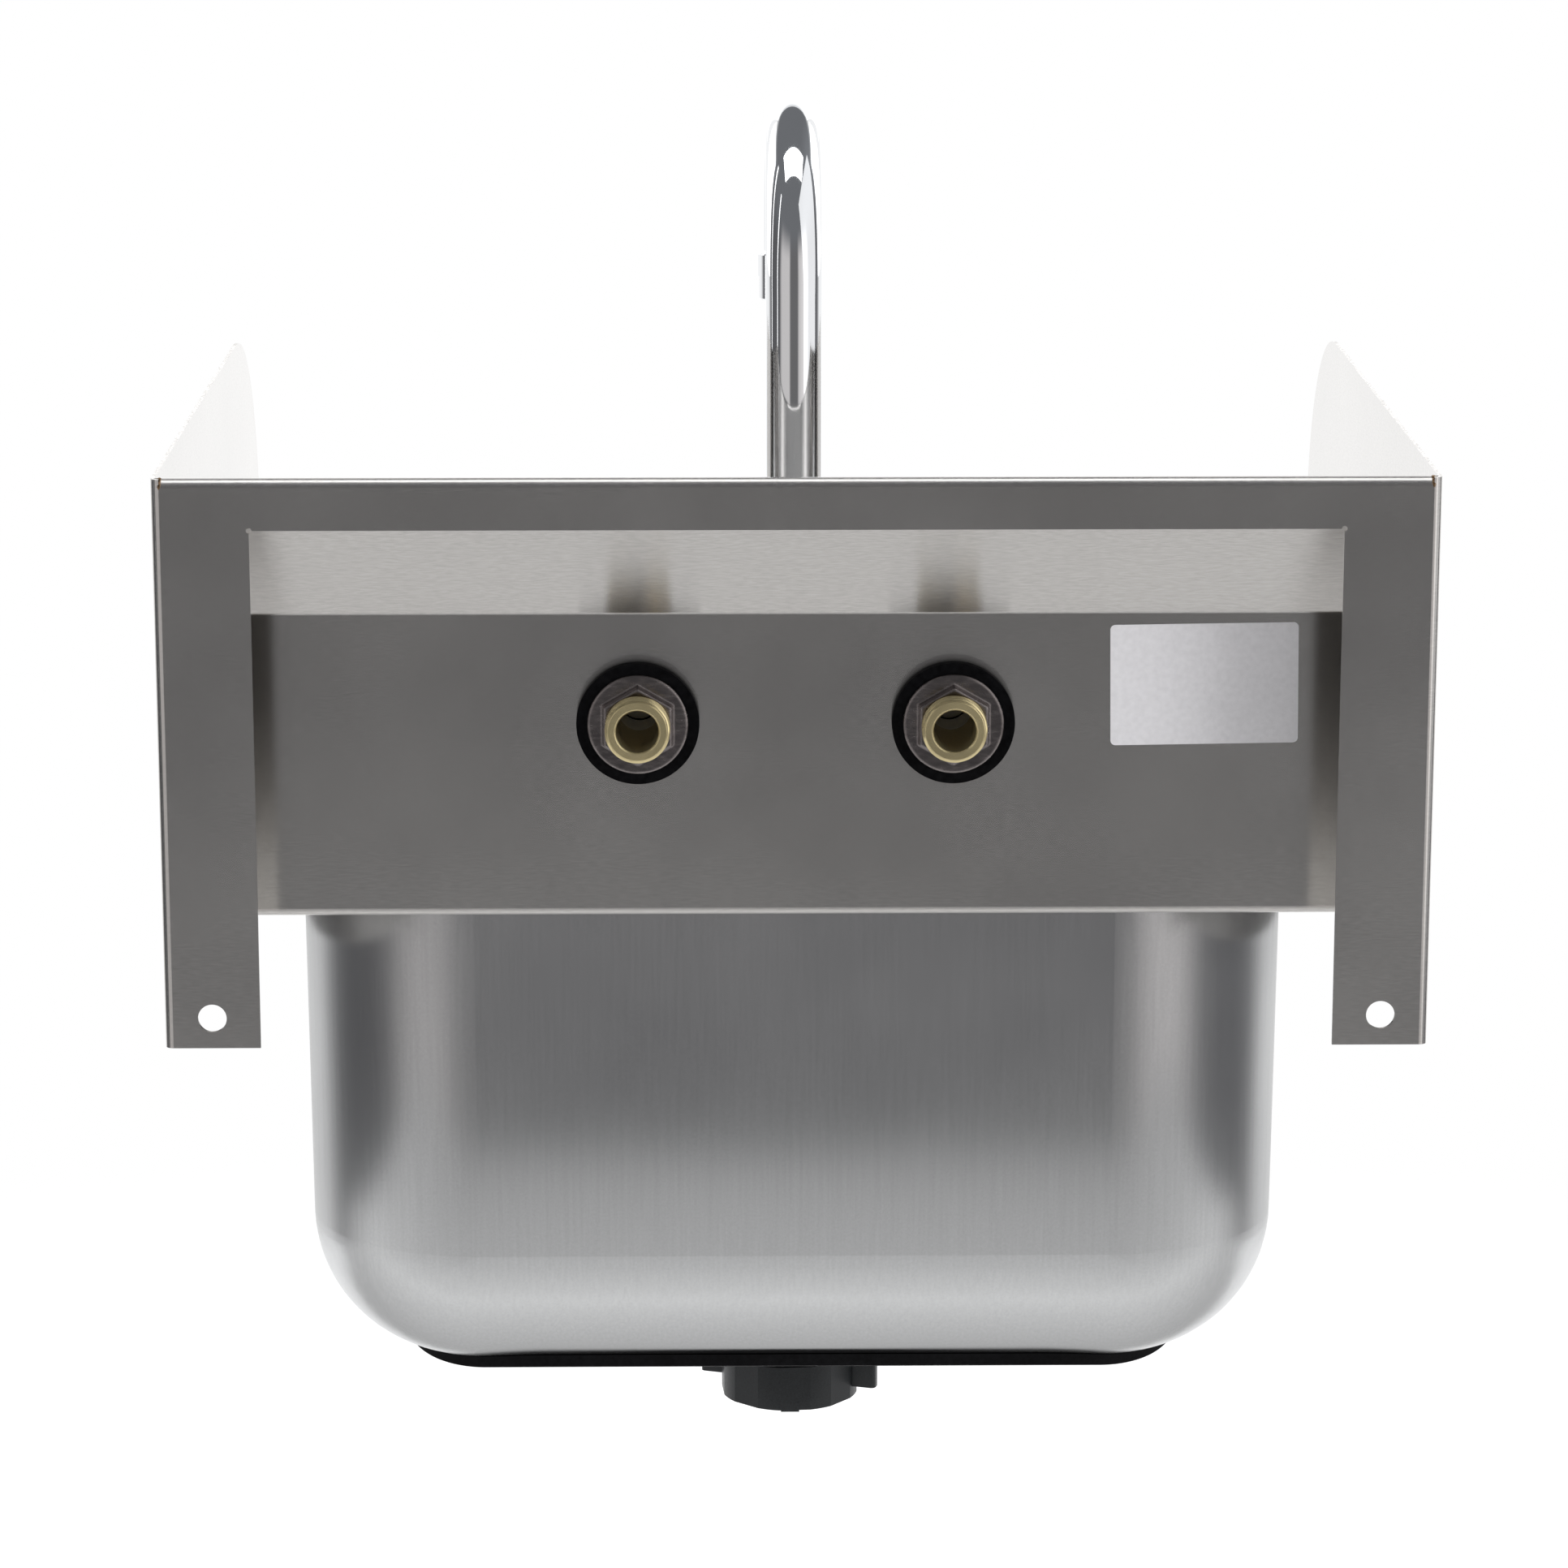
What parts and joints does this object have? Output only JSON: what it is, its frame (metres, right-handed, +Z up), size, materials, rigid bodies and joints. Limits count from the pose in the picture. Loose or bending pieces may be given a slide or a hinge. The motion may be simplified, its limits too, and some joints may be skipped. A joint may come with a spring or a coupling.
{
  "type": "wall hand-wash sink",
  "caption": "Wall-hung stainless steel utility hand sink with side splashes, deep-drawn bowl, swivelling gooseneck tap with lever handles and a black strainer waste.",
  "frame": {"origin": "midway between the two wall-screw holes, on the wall plane", "axes": "+X to the right of a person at the sink, +Y into the wall, +Z up"},
  "size_m": [0.397, 0.36, 0.4693],
  "materials": {
    "satin_steel": "satin brushed sheet",
    "strainer_steel": "pressed, fine satin",
    "plated_steel": "bright plated pressing",
    "chrome_plate": "polished chrome plate",
    "brass": "turned, bright",
    "damping_rubber": "matt sheet",
    "seal_rubber": "moulded",
    "waste_plastic": "moulded, fine texture",
    "jet_plastic": "moulded",
    "valve_ceramic": "lapped",
    "hot_mark": "moulded",
    "cold_mark": "moulded"
  },
  "bodies": {
    "sink": {"deck_and_backsplash": "satin_steel", "side_splash_left": "satin_steel", "side_splash_right": "satin_steel", "bowl": "satin_steel", "damping_pad": "damping_rubber", "strainer_plate": "strainer_steel", "strainer_screw": "strainer_steel", "strainer_seal": "seal_rubber", "waste_seal": "seal_rubber", "waste_body": "waste_plastic", "screw_insert": "brass", "cone_seal": "seal_rubber", "waste_nut": "waste_plastic", "tap_body": "chrome_plate", "spout_nut": "chrome_plate", "hot_shank": "brass", "hot_front_gasket": "seal_rubber", "hot_escutcheon": "chrome_plate", "hot_rear_washer": "seal_rubber", "hot_locknut": "plated_steel", "hot_headwork": "brass", "hot_seat_seal": "seal_rubber", "hot_fixed_disc": "valve_ceramic", "cold_shank": "brass", "cold_front_gasket": "seal_rubber", "cold_escutcheon": "chrome_plate", "cold_rear_washer": "seal_rubber", "cold_locknut": "plated_steel", "cold_headwork": "brass", "cold_seat_seal": "seal_rubber", "cold_fixed_disc": "valve_ceramic"},
    "spout": {"spout_tube": "chrome_plate", "spout_collar": "brass", "spout_o_rings": "seal_rubber", "aerator_housing": "chrome_plate", "aerator_gasket": "seal_rubber", "aerator_insert": "jet_plastic"},
    "hot_lever": {"hot_handle": "chrome_plate", "hot_valve_stem": "brass", "hot_moving_disc": "valve_ceramic", "hot_handle_screw": "strainer_steel", "hot_index_button": "hot_mark"},
    "cold_lever": {"cold_handle": "chrome_plate", "cold_valve_stem": "brass", "cold_moving_disc": "valve_ceramic", "cold_handle_screw": "strainer_steel", "cold_index_button": "cold_mark"}
  },
  "joints": [
    {"name": "spout_swivel", "type": "hinge", "parent": "sink", "child": "spout", "pos_m": [0, -0.0802, 0.1208], "axis": [0, 0, 1], "range_deg": [-100, 100]},
    {"name": "hot_lever_turn", "type": "hinge", "parent": "sink", "child": "hot_lever", "pos_m": [-0.05, -0.1003, 0.0868], "axis": [0, -1, 0], "range_deg": [0, 90]},
    {"name": "cold_lever_turn", "type": "hinge", "parent": "sink", "child": "cold_lever", "pos_m": [0.05, -0.1003, 0.0868], "axis": [0, 1, 0], "range_deg": [0, 90]}
  ]
}
